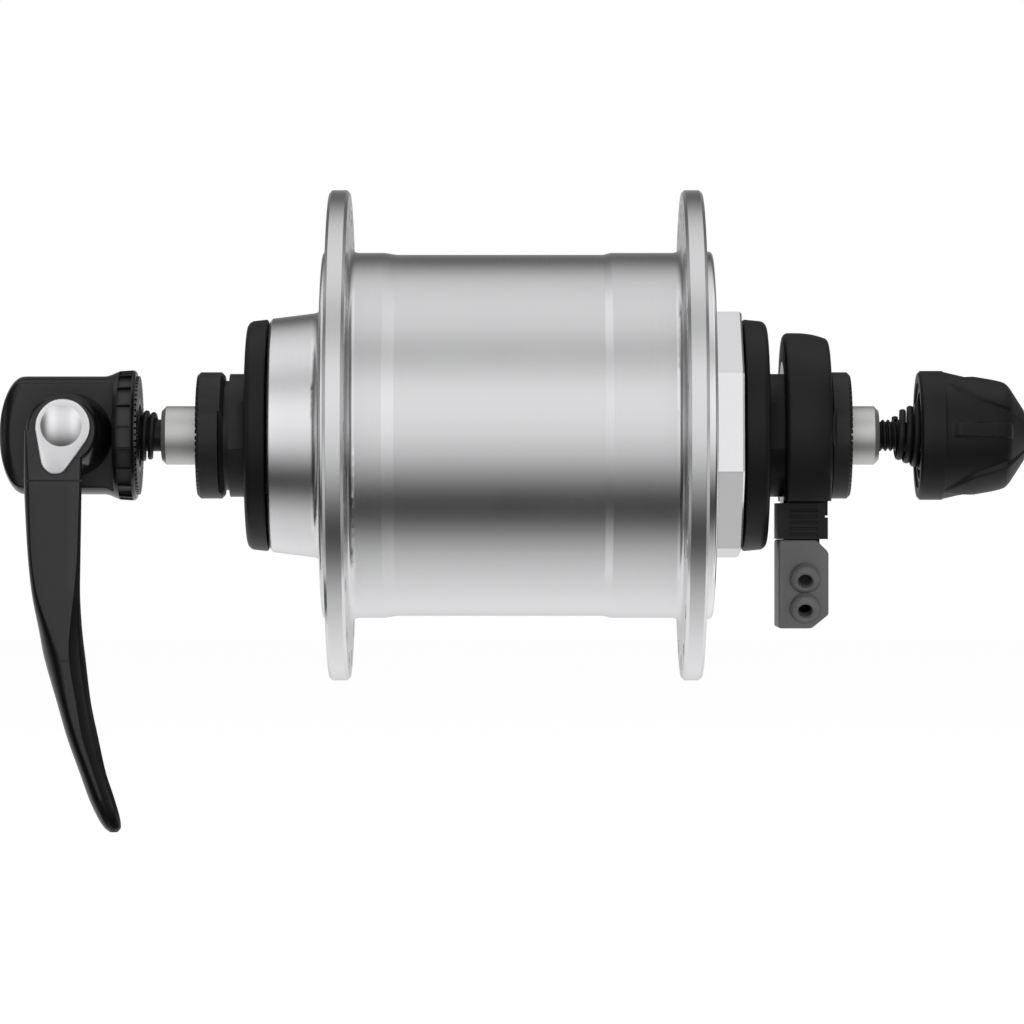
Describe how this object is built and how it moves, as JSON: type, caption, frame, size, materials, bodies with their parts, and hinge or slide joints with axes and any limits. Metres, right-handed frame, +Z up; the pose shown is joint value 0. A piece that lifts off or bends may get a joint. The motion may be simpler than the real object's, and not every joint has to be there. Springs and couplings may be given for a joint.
{
  "type": "hub dynamo",
  "caption": "Front wheel hub dynamo with spoke flanges, hollow axle, two-wire terminal plug and a quick-release skewer with cam lever, conical springs and adjusting nut.",
  "frame": {"origin": "on the axle line, midway between the outer faces of the two locknuts", "axes": "+Y along the axle to the lever end, +X forward on the bicycle, +Z up"},
  "size_m": [0.0752, 0.1571, 0.0981],
  "materials": {
    "shell_alloy": "satin, turned",
    "polished_alloy": "polished",
    "steel": "turned and ground",
    "black_steel": "black oxide",
    "bright_steel": "bright nickel plate",
    "soft_iron": "bare laminated iron",
    "magnet": "sintered, dark grey",
    "copper": "enamelled copper wire",
    "contact_metal": "tinned brass",
    "black_plastic": "satin moulded",
    "gloss_black": "gloss paint",
    "grey_plastic": "matt moulded",
    "white_plastic": "natural nylon",
    "rubber": "soft seal",
    "wire_cover": "enamel"
  },
  "bodies": {
    "axle_set": {"hollow_axle": "steel", "left_locknut": "black_steel", "right_locknut": "black_steel", "left_washer": "black_steel", "left_cone": "black_steel", "right_cone": "black_steel", "left_dust_cover": "black_plastic", "right_dust_cover": "black_plastic", "terminal_plate": "bright_steel", "terminal_ring": "black_plastic", "live_contact": "contact_metal", "lead_wire": "wire_cover", "left_yoke": "soft_iron", "right_yoke": "soft_iron", "stator_core": "soft_iron", "bobbin": "white_plastic", "coil_winding": "copper", "left_stator_nut": "steel", "right_stator_nut": "steel"},
    "hub": {"hub_shell": "shell_alloy", "right_end_cap": "polished_alloy", "left_bearing_cup": "steel", "right_bearing_cup": "steel", "flux_ring": "soft_iron", "ring_magnets": "magnet", "left_seal": "rubber", "right_seal": "rubber"},
    "left_ball_set": {"left_balls": "bright_steel", "left_cage": "steel"},
    "right_ball_set": {"right_balls": "bright_steel", "right_cage": "steel"},
    "left_coil_spring": {"left_spring": "black_steel"},
    "housing": {"lever_housing": "gloss_black", "housing_ring": "bright_steel"},
    "cam_lever": {"lever": "gloss_black", "lever_cap": "bright_steel", "cam_shaft": "steel", "cam_clip": "steel"},
    "rod": {"skewer_rod": "black_steel"},
    "right_coil_spring": {"right_spring": "black_steel"},
    "end_nut": {"nut_cover": "black_plastic", "nut_insert": "steel", "nut_ring": "bright_steel"},
    "plug": {"plug_body": "black_plastic", "plug_contacts": "contact_metal"},
    "wire_cap": {"plug_cap": "grey_plastic"}
  },
  "joints": [
    {"name": "hub_spin", "type": "hinge", "parent": "axle_set", "child": "hub", "pos_m": [0, 0, 0], "axis": [0, 1, 0], "continuous": true},
    {"name": "left_cage_spin", "type": "hinge", "parent": "axle_set", "child": "left_ball_set", "pos_m": [0, 0.0336, 0], "axis": [0, 1, 0], "continuous": true},
    {"name": "right_cage_spin", "type": "hinge", "parent": "axle_set", "child": "right_ball_set", "pos_m": [0, -0.028, 0], "axis": [0, 1, 0], "continuous": true},
    {"name": "skewer_slide", "type": "slide", "parent": "axle_set", "child": "left_coil_spring", "axis": [0, 1, 0], "range_m": [-0.0015, 0.0015], "stiffness_N_per_m": 400, "deforming": ["left_spring"]},
    {"name": "skewer_turn", "type": "hinge", "parent": "left_coil_spring", "child": "housing", "pos_m": [0, 0.0589, 0], "axis": [0, 1, 0], "continuous": true},
    {"name": "lever_turn", "type": "hinge", "parent": "housing", "child": "cam_lever", "pos_m": [0, 0.0692, 0], "axis": [1, 0, 0], "range_deg": [0, 180]},
    {"name": "cam_draw", "type": "slide", "parent": "housing", "child": "rod", "axis": [0, -1, 0], "range_m": [0, 0.0018]},
    {"name": "nut_travel", "type": "slide", "parent": "rod", "child": "right_coil_spring", "axis": [0, 1, 0], "range_m": [-0.004, 0.004], "deforming": ["right_spring"]},
    {"name": "nut_turn", "type": "hinge", "parent": "right_coil_spring", "child": "end_nut", "pos_m": [0, -0.0604, 0], "axis": [0, 1, 0], "range_deg": [-1800, 1800]},
    {"name": "plug_pull", "type": "slide", "parent": "axle_set", "child": "plug", "axis": [0, 0, -1], "range_m": [0, 0.02]},
    {"name": "wire_cap_pull", "type": "slide", "parent": "plug", "child": "wire_cap", "axis": [0, 0, -1], "range_m": [0, 0.012]}
  ],
  "couplings": [
    {"joint": "left_cage_spin", "follows": "hub_spin", "ratio": 0.595},
    {"joint": "right_cage_spin", "follows": "hub_spin", "ratio": 0.595},
    {"joint": "cam_draw", "follows": "lever_turn", "m_per_rad": 0.0005729},
    {"joint": "nut_travel", "follows": "nut_turn", "m_per_rad": 0.00012731}
  ]
}
